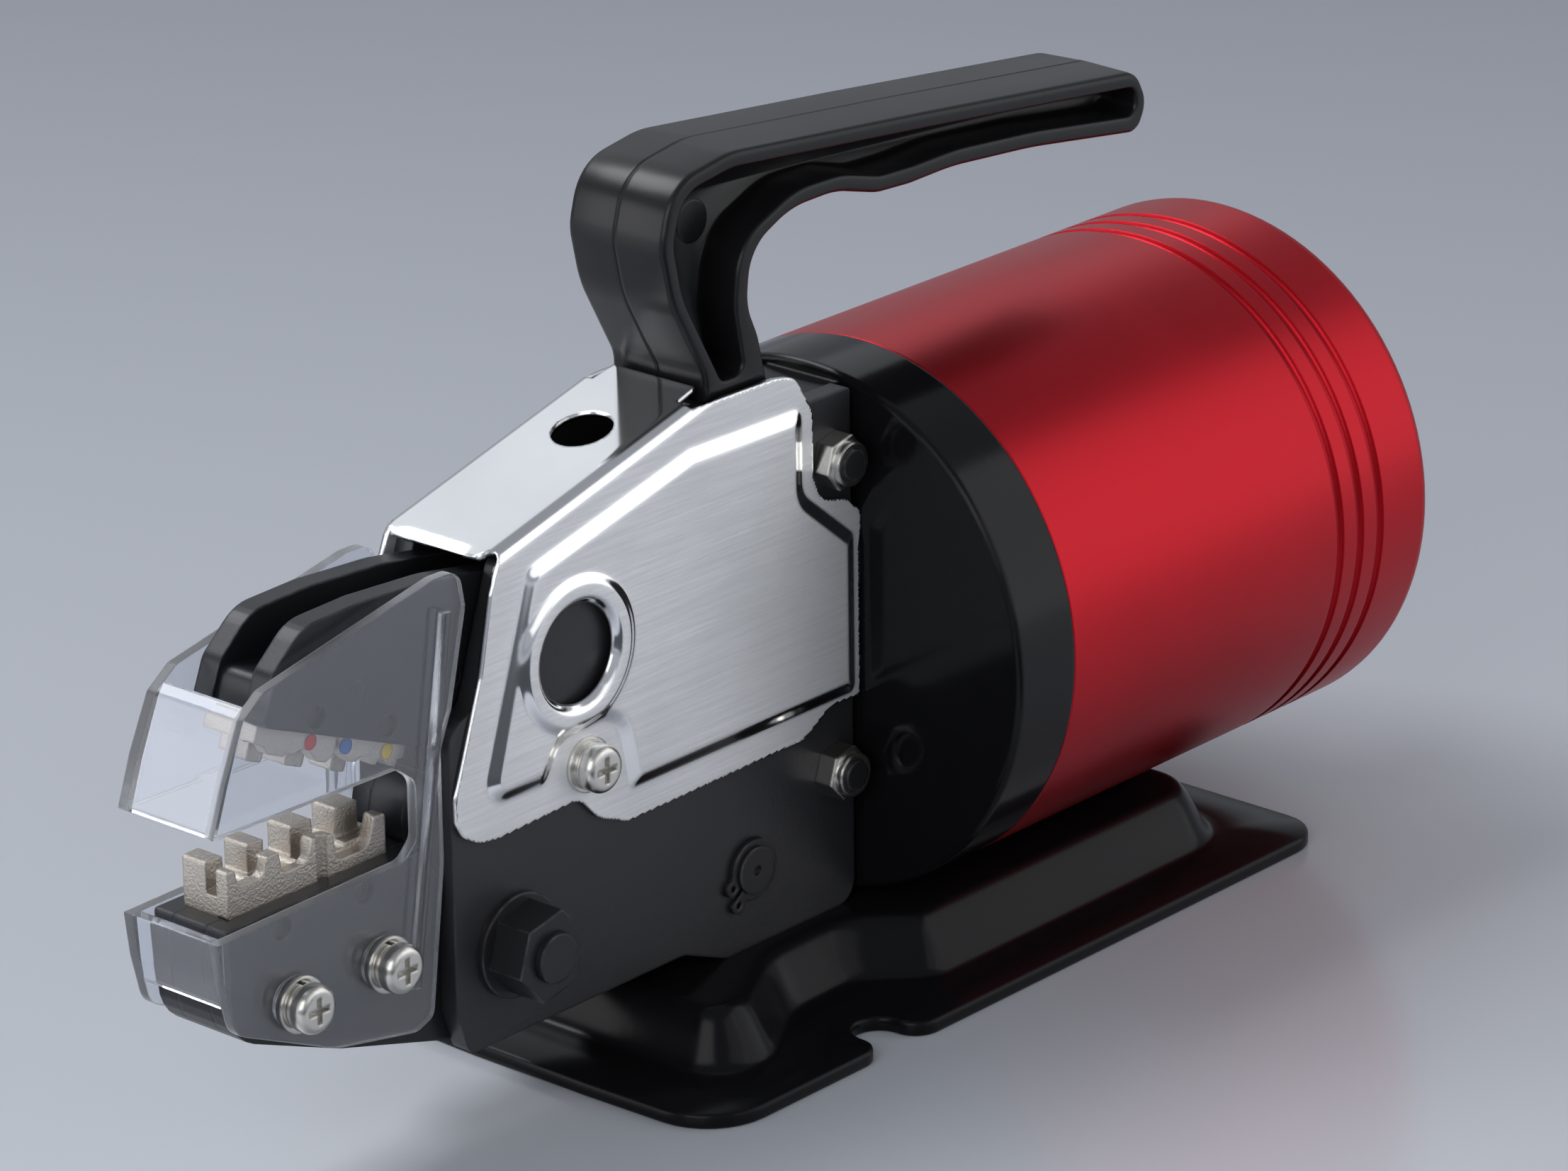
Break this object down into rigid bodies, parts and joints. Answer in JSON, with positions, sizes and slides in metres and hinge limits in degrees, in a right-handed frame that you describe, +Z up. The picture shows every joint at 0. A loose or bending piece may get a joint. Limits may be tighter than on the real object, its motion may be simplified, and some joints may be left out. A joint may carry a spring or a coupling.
{
  "type": "pneumatic crimping tool",
  "caption": "Bench-mounted air-powered crimping tool with a spring-return cylinder, a roller-and-cam driven jaw, crimp dies, a clear guard, a steel cover and a carrying handle.",
  "frame": {"origin": "midway between the two base notches' end centres, on the underside of the base (the floor plane)", "axes": "+X along the cylinder towards its rear, away from the jaws; +Y towards the right side plate, as someone behind the tool and facing its jaws would say it; +Z up"},
  "size_m": [0.2712, 0.09, 0.1445],
  "materials": {
    "base_black": "satin black coating",
    "jaw_black": "black oxide, satin",
    "plate_black": "black oxide, satin",
    "cap_black": "semi-gloss black coating",
    "barrel_red": "red anodised, satin",
    "black_fastener": "black oxide",
    "rubber_black": "matte",
    "brass": "turned",
    "ring_blue": "moulded",
    "aluminium": "turned",
    "wear_ptfe": "smooth",
    "steel": "ground",
    "zinc_fastener": "bright plated",
    "die_steel": "bead-blasted nickel",
    "dot_red": "enamel",
    "dot_blue": "enamel",
    "dot_yellow": "enamel",
    "cover_steel": "brushed and embossed",
    "handle_black": "fine moulded",
    "guard_clear": "clear moulded"
  },
  "bodies": {
    "frame": {"base_plate": "base_black", "foot_block": "jaw_black", "base_screws": "black_fastener", "side_plate_left": "plate_black", "side_plate_right": "plate_black", "front_cap": "cap_black", "barrel_seal": "rubber_black", "cylinder_barrel": "barrel_red", "rod_bush": "brass", "rod_seal": "rubber_black", "air_fitting": "brass", "return_spring": "steel", "pivot_pin": "steel", "lower_jaw_cheek_left": "jaw_black", "lower_jaw_cheek_right": "jaw_black", "lower_jaw_core": "jaw_black", "lower_jaw_rivets": "jaw_black", "lower_die": "die_steel", "lower_die_pins": "jaw_black", "jaw_bolt": "black_fastener", "jaw_bolt_nut": "black_fastener", "jaw_bolt_washers": "black_fastener", "tail_pin": "black_fastener", "tail_pin_circlips": "black_fastener", "frame_bolts": "black_fastener", "lock_nuts": "zinc_fastener", "steel_cover": "cover_steel", "cover_screws": "zinc_fastener", "cover_washers": "zinc_fastener", "handle": "handle_black", "handle_pins": "steel", "guard": "guard_clear", "guard_screws": "zinc_fastener", "guard_spring_washers": "zinc_fastener", "guard_flat_washers": "zinc_fastener"},
    "piston_group": {"piston": "aluminium", "piston_seal": "rubber_black", "piston_wear_ring": "wear_ptfe", "piston_nut": "steel", "piston_rod": "steel", "rod_fork": "steel", "roller_pins": "steel"},
    "upper_jaw": {"upper_jaw_cheek_left": "jaw_black", "upper_jaw_cheek_right": "jaw_black", "upper_jaw_arm": "jaw_black", "jaw_rivets": "jaw_black", "upper_die": "die_steel", "upper_die_pins": "jaw_black", "dot_red": "dot_red", "dot_blue": "dot_blue", "dot_yellow": "dot_yellow"},
    "upper_roller": {"upper_roller": "steel"},
    "lower_roller": {"lower_roller": "steel"},
    "release_ring": {"fitting_release_ring": "ring_blue"}
  },
  "joints": [
    {"name": "piston_slide", "type": "slide", "parent": "frame", "child": "piston_group", "axis": [-1, 0, 0], "range_m": [0, 0.032], "stiffness_N_per_m": 4000, "springref_m": -0.02, "deforming": ["return_spring"]},
    {"name": "jaw_hinge", "type": "hinge", "parent": "frame", "child": "upper_jaw", "pos_m": [-0.0635, 0, 0.0535], "axis": [0, -1, 0], "range_deg": [0, 22]},
    {"name": "upper_roller_spin", "type": "hinge", "parent": "piston_group", "child": "upper_roller", "pos_m": [-0.0075, 0, 0.065], "axis": [0, 1, 0], "range_deg": [0, 200]},
    {"name": "lower_roller_spin", "type": "hinge", "parent": "piston_group", "child": "lower_roller", "pos_m": [-0.0075, 0, 0.048], "axis": [0, -1, 0], "range_deg": [0, 230]},
    {"name": "release_ring_slide", "type": "slide", "parent": "frame", "child": "release_ring", "axis": [-1, 0, 0], "range_m": [0, 0.0012], "stiffness_N_per_m": 1500}
  ],
  "couplings": [
    {"joint": "jaw_hinge", "follows": "piston_slide", "rad_per_m": 11.999},
    {"joint": "upper_roller_spin", "follows": "piston_slide", "rad_per_m": 109},
    {"joint": "lower_roller_spin", "follows": "piston_slide", "rad_per_m": 125}
  ]
}
